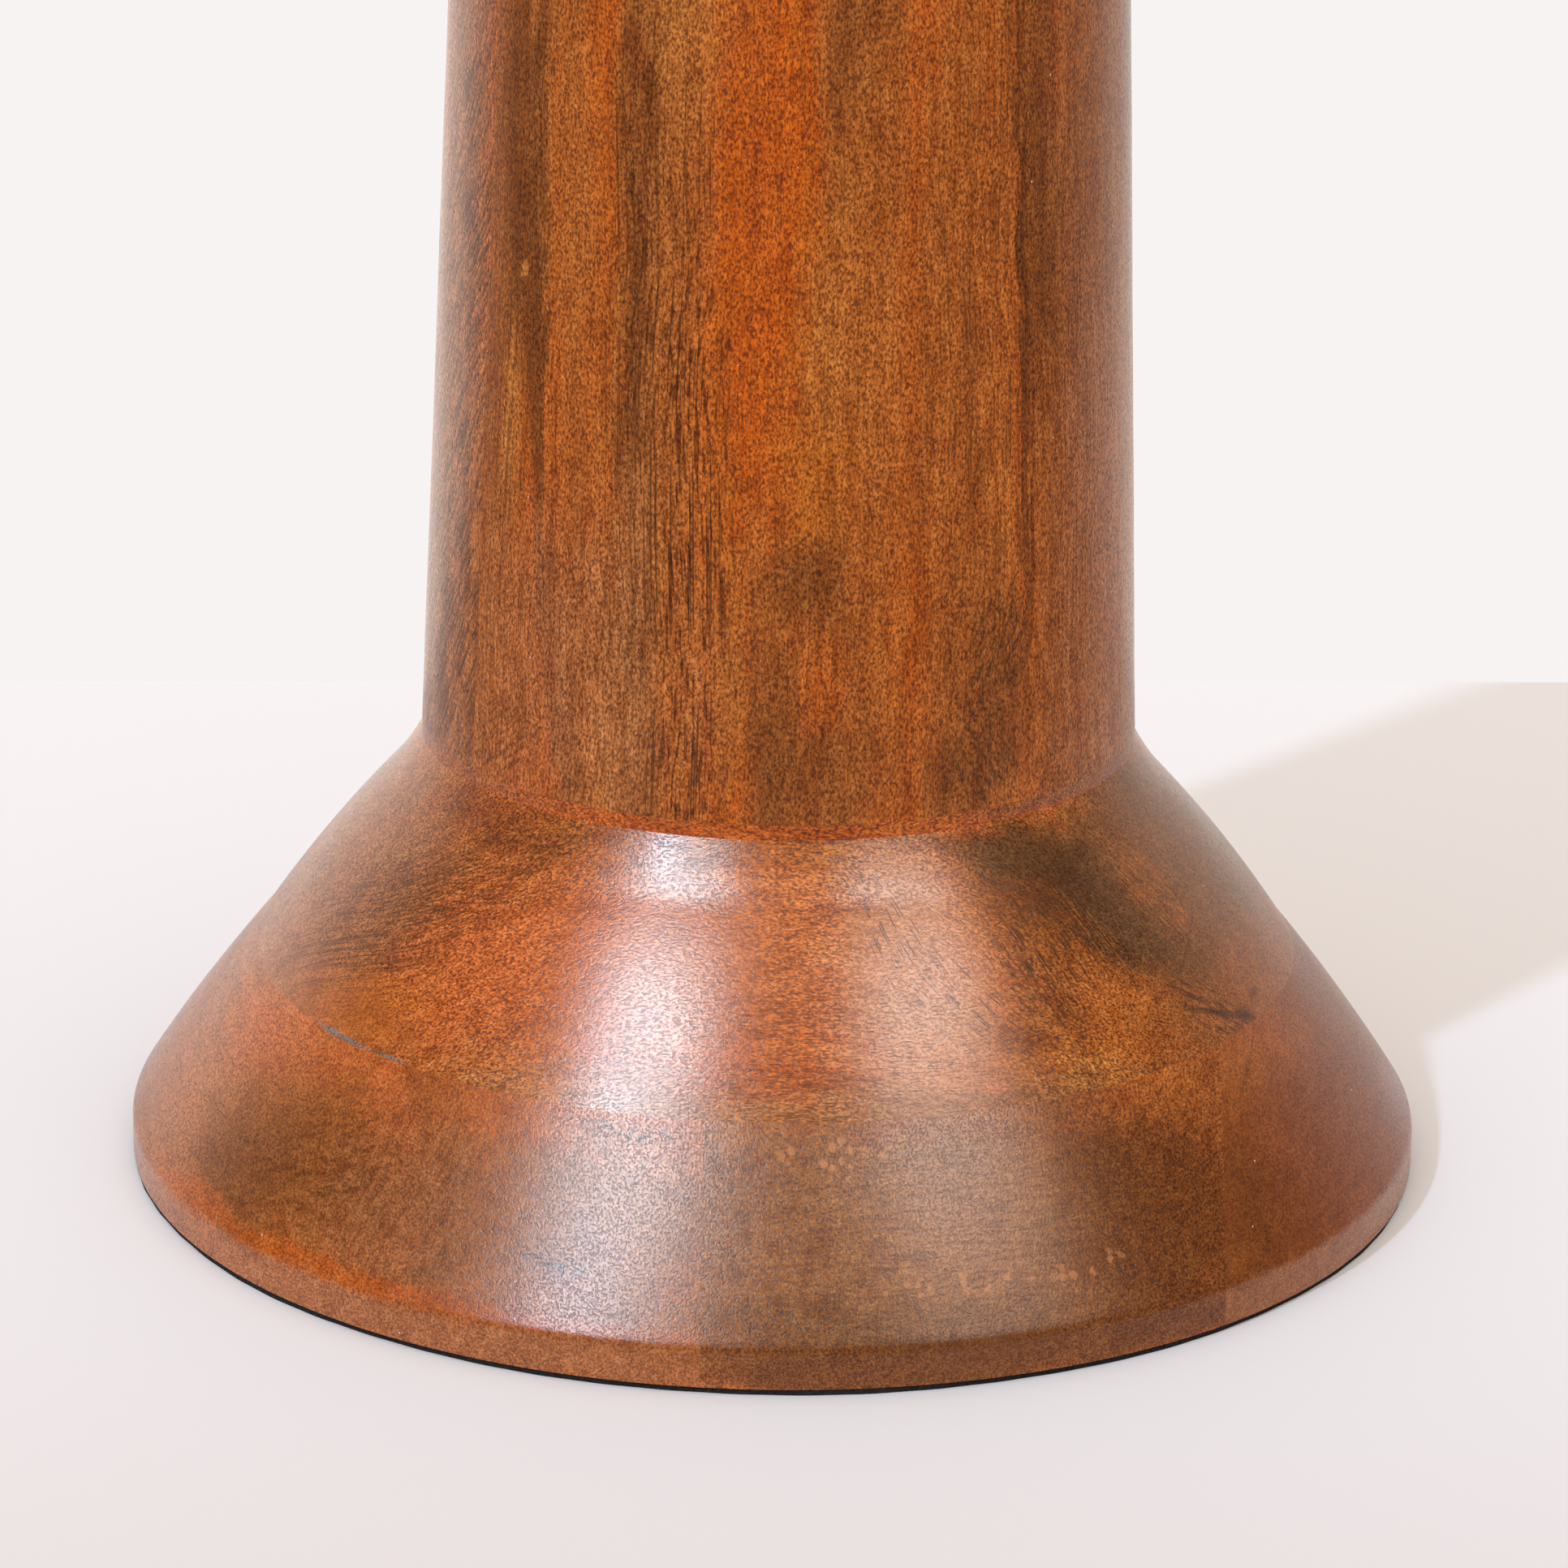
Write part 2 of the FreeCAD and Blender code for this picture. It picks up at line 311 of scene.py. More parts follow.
def pan_outline():
    """Closed outline of the spun pan, with fine spinning rings on its floor."""
    outer_radius = pan_inner_radius + pan_thickness
    floor_top = pan_bottom + pan_thickness
    lip_bottom = pan_top - pan_thickness
    outer_bend = pan_bend_radius + pan_thickness
    lip_bend = pan_lip_bend_radius + pan_thickness
    quarter = math.pi / 2
    bend_spot = point(outer_radius - outer_bend, pan_bottom + outer_bend)
    outline = [point(pan_hole_radius, pan_bottom)]
    outline += arc(bend_spot, outer_bend, -quarter, 0, fine_step)
    lip_under = point(outer_radius + pan_lip_bend_radius, lip_bottom - pan_lip_bend_radius)
    outline += arc(lip_under, pan_lip_bend_radius, 2 * quarter, quarter, fine_step / 2)
    edge_low = point(pan_lip_radius - pan_lip_round, lip_bottom + pan_lip_round)
    edge_high = point(pan_lip_radius - pan_lip_round, pan_top - pan_lip_round)
    outline += arc(edge_low, pan_lip_round, -quarter, 0, fine_step / 4)
    outline += arc(edge_high, pan_lip_round, 0, quarter, fine_step / 4)
    lip_spot = point(pan_inner_radius + lip_bend, pan_top - lip_bend)
    outline += arc(lip_spot, lip_bend, quarter, 2 * quarter, fine_step / 2)
    inner_spot = point(pan_inner_radius - pan_bend_radius, floor_top + pan_bend_radius)
    outline += arc(inner_spot, pan_bend_radius, 0, -quarter, fine_step)
    floor = straight(point(inner_spot.x, floor_top), point(pan_hole_radius, floor_top), fine_step)
    for spot in floor[1:]:
        spot.y -= spin_depth * (1 - math.cos(2 * math.pi * spot.x / spin_pitch)) / 2
        outline.append(spot)
    return outline


def wobble(angle, height):
    """Small departure from round that hand turning and sanding leave, as a radius."""
    slow = math.sin(3 * angle + 90 * height + 0.7) + math.sin(7 * angle - 140 * height + 2.1)
    quick = math.sin(17 * angle + 260 * height) * math.sin(11 * angle - 190 * height + 1.3)
    return wobble_depth * (slow + quick) / 2


def turned_mesh(name, outline):
    """Closed mesh turned about the Z axis from a closed outline."""
    count = len(outline)
    vertices = []
    faces = []
    for segment in range(segments):
        angle = 2 * math.pi * segment / segments
        ahead = (segment + 1) % segments
        for index, spot in enumerate(outline):
            radius = spot.x
            if radius > wobble_from_radius:
                radius += wobble(angle, spot.y)
            vertices.append((radius * math.sin(angle), -radius * math.cos(angle), spot.y))
            following = (index + 1) % count
            faces.append((
                segment * count + index,
                ahead * count + index,
                ahead * count + following,
                segment * count + following,
            ))
    mesh = bpy.data.meshes.new(name)
    mesh.from_pydata(vertices, [], faces)
    return mesh


def keep_side(mesh, plane_point, plane_normal):
    """Cut a closed mesh by a plane, keep the side that the normal points to and close the cut."""
    work = bmesh.new()
    work.from_mesh(mesh)
    everything = work.verts[:] + work.edges[:] + work.faces[:]
    bmesh.ops.bisect_plane(
        work, geom=everything, dist=cut_tolerance,
        plane_co=plane_point, plane_no=plane_normal, clear_inner=True,
    )
    rim = [edge for edge in work.edges if edge.is_boundary]
    bmesh.ops.holes_fill(work, edges=rim)
    work.to_mesh(mesh)
    work.free()


def new_object(name, data):
    """Object of a mesh, light or camera, put into the scene."""
    made = bpy.data.objects.new(name, data)
    bpy.context.scene.collection.objects.link(made)
    return made


def piece(mesh, node, body, material):
    """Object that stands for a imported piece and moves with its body."""
    work = bmesh.new()
    work.from_mesh(mesh)
    bmesh.ops.recalc_face_normals(work, faces=work.faces)
    work.to_mesh(mesh)
    work.free()
    mesh.shade_smooth()
    mesh.set_sharp_from_angle(angle=sharp_angle)
    mesh.materials.append(material)
    made = new_object(mesh.name, mesh)
    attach(made, body)
    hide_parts(node)
    return made


def srgb(red, green, blue):
    """Linear colour of a screen colour given in steps of 255."""
    linear = []
    for step in (red, green, blue):
        share = step / 255
        if share <= 0.04045:
            linear.append(share / 12.92)
        else:
            linear.append(((share + 0.055) / 1.055) ** 2.4)
    return (*linear, 1.0)


# Wood colours
golden = srgb(170, 88, 20)
orange = srgb(178, 80, 13)
rust = srgb(187, 94, 40)
tan = srgb(172, 93, 34)
brown = srgb(146, 79, 29)
umber = srgb(106, 56, 20)
soot = srgb(82, 48, 22)
olive = srgb(146, 94, 46)
grey_brown = srgb(148, 89, 50)
red_brown = srgb(128, 65, 30)
amber = srgb(186, 112, 46)
honey = srgb(206, 132, 76)
peach = srgb(190, 105, 52)
sand = srgb(168, 107, 57)
walnut = srgb(122, 76, 38)
bark = srgb(98, 62, 32)
pale_tan = srgb(163, 97, 56)
filler = srgb(104, 108, 102)
dust = (0.7, 0.68, 0.66, 1)
black = (0, 0, 0, 1)

# Tints that the wood's colour is multiplied by
broad_tints = [(0.0, (0.6, 0.46, 0.32, 1)), (0.5, (1.0, 1.0, 1.0, 1)), (1.0, (1.35, 1.6, 1.9, 1))]
grit_tints = [(0.36, (1.65, 1.8, 1.95, 1)), (0.5, (1.12, 1.12, 1.12, 1)), (0.62, (0.42, 0.38, 0.34, 1))]
pore_tint = (0.3, 0.25, 0.22, 1)

# Surface of the lacquer: depth of its relief in millimetres, and how much duller its pits are
lacquer_relief = 0.025
pit_dulling = 0.1


class Nodes:
    """Nodes of one material or world, added and linked one after another."""

    def __init__(self, owner):
        owner.use_nodes = True
        self.owner = owner
        self.tree = owner.node_tree
        self.tree.nodes.clear()

    def add(self, kind, inputs, **settings):
        """New node with its settings and with values or links on its inputs."""
        node = self.tree.nodes.new(kind)
        for name, value in settings.items():
            setattr(node, name, value)
        for key, value in inputs.items():
            if isinstance(value, bpy.types.NodeSocket):
                self.tree.links.new(value, node.inputs[key])
            else:
                node.inputs[key].default_value = value
        return node

    def math(self, operation, first, second):
        """Number worked out from two numbers."""
        return self.add("ShaderNodeMath", {0: first, 1: second}, operation=operation).outputs[0]

    def vector(self, operation, first, second):
        """Vector worked out from two vectors."""
        node = self.add("ShaderNodeVectorMath", {0: first, 1: second}, operation=operation)
        return node.outputs["Vector"]

    def millimetres(self):
        """Position on the piece, in millimetres of the stand's own frame."""
        place = self.add("ShaderNodeTexCoord", {}).outputs["Object"]
        return self.vector("MULTIPLY", place, (1 / mm, 1 / mm, 1 / mm))

    def noise(self, place, scale, detail, roughness=0.55):
        """Noise node over a place."""
        inputs = {"Vector": place, "Scale": scale, "Detail": detail, "Roughness": roughness}
        return self.add("ShaderNodeTexNoise", inputs)

    def spread(self, value, low, high, to_low=0.0, to_high=1.0):
        """Number eased from one range to another."""
        inputs = {"Value": value, "From Min": low, "From Max": high, "To Min": to_low, "To Max": to_high}
        node = self.add("ShaderNodeMapRange", inputs, interpolation_type="SMOOTHSTEP")
        return node.outputs["Result"]

    def mix(self, factor, first, second, blend="MIX"):
        """Colour mixed from two colours."""
        node = self.add(
            "ShaderNodeMix", {0: factor, 6: first, 7: second}, data_type="RGBA", blend_type=blend
        )
        return node.outputs[2]

    def ramp(self, factor, stops):
        """Colour from a list of (position, colour) stops."""
        node = self.add("ShaderNodeValToRGB", {0: factor})
        elements = node.color_ramp.elements
        while len(elements) < len(stops):
            elements.new(1.0)
        for element, (position, colour) in zip(elements, stops):
            element.position = position
            element.color = colour
        return node.outputs["Color"]

    def bump(self, height, depth):
        """Normal roughened by a height, one of which stands for a depth in millimetres."""
        inputs = {"Height": height, "Distance": depth * mm, "Strength": 1.0}
        return self.add("ShaderNodeBump", inputs).outputs["Normal"]

    def surface(self, **inputs):
        """Principled surface of the material, with its sockets named with underscores."""
        named = {key.replace("_", " "): value for key, value in inputs.items()}
        shader = self.add("ShaderNodeBsdfPrincipled", named)
        self.add("ShaderNodeOutputMaterial", {"Surface": shader.outputs[0]})
        return self.owner


def new_nodes(name):
    """Nodes of a new material."""
    return Nodes(bpy.data.materials.new(name))


def surface_place(nodes, place):
    """Place on a turned surface: azimuth from the front in degrees, to the right, and height in mm."""
    parts = nodes.add("ShaderNodeSeparateXYZ", {0: place})
    forward = nodes.math("MULTIPLY", parts.outputs["Y"], -1.0)
    angle = nodes.math("ARCTAN2", parts.outputs["X"], forward)
    degrees = nodes.math("MULTIPLY", angle, math.degrees(1))
    return nodes.add("ShaderNodeCombineXYZ", {0: degrees, 1: parts.outputs["Z"]}).outputs[0]


def shaken(nodes, place, noise_colour, reach):
    """Place moved to and fro by a noise colour, by up to half of reach."""
    centred = nodes.vector("SUBTRACT", noise_colour, (0.5, 0.5, 0.5))
    return nodes.vector("ADD", place, nodes.vector("MULTIPLY", centred, reach))


def turned_place(nodes, place, azimuth, height, half_width, half_height, tilt):
    """Place seen from the middle of a tilted cloud, in half widths and half heights of the cloud."""
    return nodes.add("ShaderNodeMapping", {
        "Vector": place,
        "Location": (azimuth, height, 0),
        "Rotation": (0, 0, math.radians(tilt)),
        "Scale": (half_width, half_height, 1),
    }, vector_type="TEXTURE").outputs[0]


def cloud_amount(nodes, place, strength, azimuth, height, half_width, half_height, edge=0.6, tilt=0):
    """Strength of an oval cloud at a place; edge is the share of the cloud over which it fades."""
    local = turned_place(nodes, place, azimuth, height, half_width, half_height, tilt)
    distance = nodes.add("ShaderNodeVectorMath", {0: local}, operation="LENGTH").outputs["Value"]
    return nodes.spread(distance, 1 - edge, 1 + edge, strength, 0.0)


def stained(nodes, colour, place, clouds):
    """Colour with clouds laid over it, each a tint and the shape of its cloud."""
    for tint, *shape in clouds:
        colour = nodes.mix(cloud_amount(nodes, place, *shape), colour, tint)
    return colour


def bundle_place(nodes, place, length, width, shape):
    """Place seen from the middle of a bundle, in lengths and widths of its strokes."""
    _, azimuth, height, _, _, _, tilt = shape
    return turned_place(nodes, place, azimuth, height, length, width, tilt)


def stroked(nodes, colour, place, strokes):
    """Colour with bundles of strokes, each a tint, a stroke's length and width, and the cloud it fills.

    The strokes run along the cloud's width.
    """
    for tint, length, width, *shape in strokes:
        lines = nodes.noise(bundle_place(nodes, place, length, width, shape), 1.0, 2.0, 0.6).outputs[0]
        lines = nodes.spread(lines, 0.48, 0.6)
        amount = nodes.math("MULTIPLY", lines, cloud_amount(nodes, place, *shape))
        colour = nodes.mix(amount, colour, tint)
    return colour


def dashed(nodes, colour, place, dashes):
    """Colour with bundles of crisp dashes, each a tint, a dash's room in length and width, and a cloud.

    The dashes run along the cloud's width.
    """
    for tint, length, width, *shape in dashes:
        marks = pores(nodes, bundle_place(nodes, place, length, width, shape), 1.0, 0.4, "2D")
        amount = nodes.math("MULTIPLY", marks, cloud_amount(nodes, place, *shape))
        colour = nodes.mix(amount, colour, tint)
    return colour


def zone_mask(nodes, place, zones):
    """Mask of a list of clouds."""
    mask = 0.0
    for zone in zones:
        mask = nodes.math("MAXIMUM", mask, cloud_amount(nodes, place, *zone))
    return mask


def drawn_out(nodes, place, axis, times):
    """Place shrunk along one axis, so that noise is drawn out along it."""
    scale = [1.0, 1.0, 1.0]
    scale[axis] = 1 / times
    return nodes.vector("MULTIPLY", place, scale)


def pores(nodes, grain, scale, widest, dimensions="3D"):
    """Mask of dashes along the grain, of uneven size."""
    inputs = {"Vector": grain, "Scale": scale, "Randomness": 1.0}
    cells = nodes.add("ShaderNodeTexVoronoi", inputs, voronoi_dimensions=dimensions)
    draw = nodes.add("ShaderNodeSeparateColor", {0: cells.outputs["Color"]}).outputs[0]
    reach = nodes.spread(draw, 0.2, 1.0, -0.1, widest)
    depth = nodes.math("SUBTRACT", reach, cells.outputs["Distance"])
    return nodes.spread(depth, -0.04, 0.05)


def dust_specks(nodes, place):
    """Mask of tiny specks, a few on a hand's breadth of surface."""
    cells = nodes.add("ShaderNodeTexVoronoi", {"Vector": place, "Scale": 0.18, "Randomness": 1.0})
    return nodes.spread(cells.outputs["Distance"], 0.014, 0.022, 1.0, 0.0)


def textured(nodes, colour, layers, grit, amount):
    """Colour under a broad texture, summed from weighted noises, and under fine grit."""
    texture = 0.0
    for layer, weight in layers:
        texture = nodes.math("ADD", texture, nodes.math("MULTIPLY", layer.outputs[0], weight))
    broad = nodes.ramp(nodes.spread(texture, 0.36, 0.64), broad_tints)
    colour = nodes.mix(amount, colour, broad, "MULTIPLY")
    return nodes.mix(amount, colour, nodes.ramp(grit, grit_tints), "MULTIPLY")


def flecked(nodes, colour, surface, speckle, zones):
    """Colour with pale flecks in some zones."""
    spot = shaken(nodes, surface, speckle.outputs["Color"], (1.0, 1.0, 0))
    flecks = pores(nodes, spot, 1.0, 0.45, "2D")
    return nodes.mix(nodes.math("MULTIPLY", flecks, zone_mask(nodes, surface, zones)), colour, honey)


def long_pores(nodes, grain, spot, zones):
    """Mask of long pores in some zones."""
    lines = nodes.spread(nodes.noise(grain, 2.6, 1.0).outputs[0], 0.53, 0.64, 0.0, 0.85)
    return nodes.math("MULTIPLY", lines, zone_mask(nodes, spot, zones))


def wood_material(name, axis, start, ground, shake, pore_depth,
                  band=0.1, contrast=1.0, rough=0.2, gloss=0.36,
                  clouds=(), strokes=(), dashes=(), marks=(),
                  pore_zones=(), fleck_zones=(), calm_zones=()):
    """Stained hardwood under satin lacquer.

    axis is the direction of the grain, and start moves the figure from piece to piece. ground is the list
    of stops that the figure runs through, shake how far the edges of the clouds wander, and pore_depth the
    strength of the short pores. band is the weight of broad bands in the texture, contrast the texture's
    strength, rough the least roughness of the lacquer and gloss its specular level. marks are clouds with
    crisp edges. Long pores show in pore_zones and pale flecks in fleck_zones. calm_zones have less texture.
    """
    nodes = new_nodes(name)
    place = nodes.millimetres()
    board = nodes.vector("ADD", place, start)
    drift = nodes.noise(board, 0.03, 1.0).outputs["Color"]
    wandering = shaken(nodes, board, drift, (5, 5, 5))
    long_grain = drawn_out(nodes, wandering, axis, 30)
    pore_grain = drawn_out(nodes, wandering, axis, 16)
    short_grain = drawn_out(nodes, wandering, axis, 6)
    blunt_grain = drawn_out(nodes, wandering, axis, 2.5)
    figure = nodes.noise(long_grain, 0.12, 4.0, 0.6)
    bands = nodes.noise(long_grain, 0.4, 2.0, 0.6)
    streaks = nodes.noise(long_grain, 1.1, 3.0, 0.65)
    sway = nodes.noise(short_grain, 0.14, 3.0, 0.6)
    mottle = nodes.noise(blunt_grain, 0.5, 4.0, 0.6)
    fibre = nodes.noise(blunt_grain, 3.0, 3.0, 0.7)
    speckle = nodes.noise(board, 1.6, 3.0, 0.7)
    grit = nodes.noise(drawn_out(nodes, board, axis, 1.8), 4.2, 2.0, 0.6).outputs[0]

    # Stain
    surface = surface_place(nodes, place)
    spot = shaken(nodes, surface, sway.outputs["Color"], shake)
    spot = shaken(nodes, spot, streaks.outputs["Color"], (8, 3, 0))
    spot = shaken(nodes, spot, mottle.outputs["Color"], (6, 5, 0))
    soft_spot = shaken(nodes, surface, drift, shake)
    sharp_spot = shaken(nodes, surface, speckle.outputs["Color"], (0.8, 0.3, 0))
    colour = nodes.ramp(figure.outputs[0], ground)
    colour = stained(nodes, colour, spot, clouds)
    colour = stroked(nodes, colour, soft_spot, strokes)
    colour = stained(nodes, colour, sharp_spot, marks)

    # Grain
    rest = 0.7 - band
    layers = [(bands, band), (streaks, 0.15), (mottle, rest * 0.4), (fibre, rest * 0.6), (speckle, 0.15)]
    calm = zone_mask(nodes, surface, calm_zones)
    amount = nodes.math("MULTIPLY", nodes.math("SUBTRACT", 1.0, calm), contrast)
    colour = textured(nodes, colour, layers, grit, amount)
    colour = flecked(nodes, colour, surface, speckle, fleck_zones)
    colour = dashed(nodes, colour, soft_spot, dashes)
    short_pores = nodes.math("MULTIPLY", pores(nodes, short_grain, 1.5, 0.2), pore_depth)
    open_pores = nodes.math("MAXIMUM", short_pores, long_pores(nodes, pore_grain, spot, pore_zones))
    colour = nodes.mix(open_pores, colour, nodes.mix(1.0, colour, pore_tint, "MULTIPLY"))
    colour = nodes.mix(dust_specks(nodes, place), colour, dust)

    # Relief
    pits = nodes.spread(grit, 0.48, 0.66)
    height = nodes.math("ADD", fibre.outputs[0], nodes.math("MULTIPLY", speckle.outputs[0], 0.7))
    height = nodes.math("SUBTRACT", height, open_pores)
    height = nodes.math("SUBTRACT", height, nodes.math("MULTIPLY", pits, 0.3))
    return nodes.surface(
        Base_Color=colour,
        Roughness=nodes.spread(pits, 0.0, 1.0, rough, rough + pit_dulling),
        Specular_IOR_Level=gloss,
        Normal=nodes.bump(height, lacquer_relief),
    )


# Looks of the wooden pieces, with azimuths in degrees from the front and heights in millimetres
# A cloud or mark: tint, strength, azimuth, height, half width, half height, fading edge and tilt
# A bundle of strokes or dashes: tint, length and width of a stroke, and a cloud without its tint
# A zone: a cloud without its tint

# Looks of the column's halves
column_front_clouds = [
    (brown, 0.85, -52, 105, 6, 45, 0.5),
    (umber, 0.75, -47, 122, 4.5, 26, 0.5, 3),
    (amber, 0.8, -48, 92, 2.2, 10),
    (tan, 0.9, -48, 66, 8, 15),
    (umber, 0.85, -42, 98, 2.4, 20, 0.6, 6),
    (umber, 0.75, -37, 66, 2.6, 17, 0.6, 14),
    (tan, 0.6, -35, 108, 5, 40, 0.6, 3),
    (brown, 0.4, -35, 118, 5, 26, 0.6, 3),
    (tan, 0.7, -28, 66, 4, 22, 0.6, 3),
    (amber, 0.5, -29, 62, 5, 14, 0.6, 3),
    (pale_tan, 0.55, -34, 68, 20, 16),
    (brown, 0.6, -23.5, 110, 4, 22),
    (umber, 0.6, -23.5, 111, 1.5, 20, 0.7, -2),
    (umber, 0.25, -28.5, 124, 1.2, 14, 0.7),
    (sand, 0.5, -22, 72, 4, 22, 0.7),
    (tan, 0.7, -15, 96, 6, 60),
    (amber, 0.5, -16, 140, 7, 11, 0.7),
    (orange, 0.85, -5, 120, 6.5, 24, 0.9),
    (orange, 0.7, -4, 102, 6, 10, 0.9),
    (golden, 0.8, 9, 102, 7, 20, 0.8, -3),
    (amber, 0.65, 10, 101, 6, 18, 0.7),
    (golden, 0.6, 6, 90, 6, 7),
    (tan, 0.6, -4, 78, 6, 10),
    (orange, 0.7, -7, 86, 1.8, 2.5),
    (brown, 0.9, 4, 79, 8, 4),
    (umber, 0.6, 3, 79, 5, 3, 0.8),
    (sand, 0.3, -10, 66, 5, 9, 0.7),
    (brown, 0.8, -1, 66, 4.5, 13),
    (umber, 0.55, 0, 59, 5, 8, 0.7),
    (brown, 0.8, 12, 60, 7, 8),
    (umber, 0.4, 12, 59, 7, 7, 0.7),
    (orange, 0.5, 7, 67, 4, 5),
    (tan, 0.6, 15, 92, 6, 50),
    (umber, 0.6, 22.5, 92, 2.0, 12, 0.7, -3),
    (umber, 0.4, 23.5, 112, 1.6, 9, 0.7),
    (tan, 0.85, 30, 100, 9, 50),
    (brown, 0.5, 32, 66, 8, 14),
    (umber, 0.3, 31.5, 98, 1.3, 15, 0.7),
    (umber, 0.9, 41.2, 108, 1.4, 44, 0.5, 2),
    (umber, 0.7, 45, 118, 3.5, 26, 0.7),
    (tan, 0.5, 50, 76, 7, 22, 0.7),
    (brown, 0.8, 57, 112, 9, 46, 0.5),
    (pale_tan, 0.6, 58, 76, 10, 22),
    (umber, 0.5, 38, 63, 6, 9, 0.7),
    (umber, 0.5, 28, 56, 5, 5, 0.7),
    (walnut, 0.7, 76, 95, 18, 70, 0.4),
    (pale_tan, 0.6, 68, 78, 14, 34),
]
column_front_strokes = [
    (soot, 3.0, 0.7, 0.8, 36, 70, 6, 5, 0.4, 62),
    (soot, 3.0, 0.7, 0.7, 33, 59, 6, 5, 0.4, -40),
    (umber, 4.0, 0.6, 0.7, -49, 57, 7, 5, 0.5, 35),
    (umber, 24.0, 0.5, 0.6, -52, 96, 44, 5, 0.4, 88),
    (umber, 24.0, 0.5, 0.45, -24, 100, 42, 6, 0.4, 92),
    (umber, 24.0, 0.5, 0.25, 34, 100, 42, 9, 0.4, 90),
    (umber, 20.0, 0.5, 0.5, 54, 100, 42, 7, 0.4, 90),
]
column_front_dashes = [
    (soot, 22.0, 0.42, 0.75, -16, 85, 50, 7, 0.4, 90),
    (umber, 22.0, 0.42, 0.7, -25, 100, 40, 4, 0.5, 92),
    (umber, 14.0, 0.5, 0.5, -48, 90, 45, 7, 0.5, 89),
    (umber, 12.0, 0.5, 0.35, 4, 100, 45, 14, 0.5, 90),
    (umber, 12.0, 0.5, 0.5, 32, 95, 45, 10, 0.5, 90),
]
column_front_marks = [
    (amber, 0.8, -46.5, 110, 0.9, 0.9, 0.5),
]
column_pore_zones = [
    (1.0, -15, 78, 6, 44, 0.5),
    (0.7, -23, 105, 5, 40),
    (0.5, -31, 66, 8, 26),
    (0.35, 30, 90, 14, 50),
]
column_rear_clouds = [
    (brown, 0.6, -112, 120, 14, 110),
    (walnut, 0.5, -94, 180, 8, 70),
    (tan, 0.6, -134, 150, 12, 90),
    (umber, 0.5, -151, 110, 5, 60, 0.7),
    (brown, 0.6, 150, 140, 10, 100),
    (umber, 0.5, 139, 170, 4, 60, 0.7),
    (grey_brown, 0.8, -68, 95, 12, 70, 0.4),
]
column_rear_strokes = [
    (umber, 8.0, 0.8, 0.7, -66, 95, 70, 40, 0.5, 50),
    (soot, 4.0, 0.7, 0.8, -60, 113, 6, 6, 0.6, 45),
]
column_rear_dashes = [
    (soot, 9.0, 0.5, 0.8, -66, 95, 70, 40, 0.5, 50),
]

# Looks of the base's upper board
upper_board_clouds = [
    (walnut, 0.6, -128, 40, 34, 8, 0.6, 6),
    (walnut, 0.6, 128, 40, 34, 8, 0.6, 6),
    (tan, 0.6, -150, 31, 34, 5, 0.7),
    (tan, 0.6, 150, 31, 34, 5, 0.7),
    (grey_brown, 0.8, -74, 38, 24, 11, 0.5, 8),
    (brown, 0.5, -54, 38.5, 13, 3, 0.6, 22),
    (tan, 0.8, -44, 43, 10, 2.5, 0.6, 10),
    (red_brown, 0.7, -50, 48, 14, 2.5, 0.5),
    (rust, 0.95, -38, 36, 14, 9, 0.5, 18),
    (golden, 0.6, -52, 29, 12, 3.2, 0.6, 12),
    (brown, 0.5, -36, 48, 5, 1.8),
    (rust, 0.85, -18, 36, 16, 13),
    (grey_brown, 0.5, -16, 48, 10, 3),
    (rust, 0.7, 1, 34, 8, 12, 0.7),
    (peach, 0.8, 0, 40, 12, 7, 0.7),
    (honey, 0.75, 18, 36, 9, 13),
    (brown, 0.8, 35, 37, 5, 6),
    (golden, 0.8, 38, 28, 6, 3.5),
    (amber, 0.6, 37.5, 27.5, 4, 2.4, 0.7),
    (tan, 0.5, 47, 30, 10, 4.5, 0.5, -8),
    (bark, 0.9, 42, 45.5, 13, 4.5, 0.5, -8),
    (soot, 0.95, 46, 40, 8, 4.5, 0.6, -30),
    (bark, 0.85, 53, 38, 10, 6.5, 0.6, -30),
    (walnut, 0.9, 80, 38, 24, 13, 0.5),
    (walnut, 0.8, 62, 48, 14, 3),
    (walnut, 0.5, 56, 28, 6, 4),
    (sand, 0.8, 8, 24.6, 28, 2.6, 0.9),
    (sand, 0.55, -20, 26, 13, 3.5, 0.8),
    (walnut, 0.5, 30, 24.6, 10, 2.0, 0.9),
    (brown, 0.8, 74, 27, 16, 5, 0.5),
    (pale_tan, 0.7, -74, 27, 14, 5),
]
upper_board_strokes = [
    (umber, 16.0, 0.24, 0.75, -58, 36, 18, 7, 0.5, 24),
    (umber, 16.0, 0.24, 0.7, -46, 42, 12, 3, 0.5, 12),
    (soot, 1.6, 0.5, 0.7, -35, 47.8, 6, 1.6, 0.5, 20),
    (umber, 3.0, 0.4, 0.7, 35, 37, 6, 6, 0.5, -72),
    (umber, 2.4, 0.4, 0.7, 34, 29, 5, 3, 0.5, -75),
    (tan, 3.2, 0.35, 0.8, 57, 39, 6, 4, 0.5, -62),
    (tan, 3.2, 0.35, 0.6, 43, 36, 6, 3, 0.5, -68),
    (soot, 4.0, 0.5, 0.8, 57, 26.8, 7, 2.6, 0.5, -32),
]
upper_board_dashes = [
    (umber, 3.4, 0.2, 0.85, 16, 42, 8, 3.5, 0.5, -48),
    (umber, 3.0, 0.2, 0.8, 26, 34, 8, 2.6, 0.5, -52),
    (soot, 2.6, 0.28, 0.8, 36, 37, 6, 6, 0.5, -78),
    (umber, 2.0, 0.2, 0.6, 5, 31, 26, 8, 0.5, 0),
    (umber, 7.0, 0.24, 0.7, -58, 36, 18, 8, 0.5, 24),
]
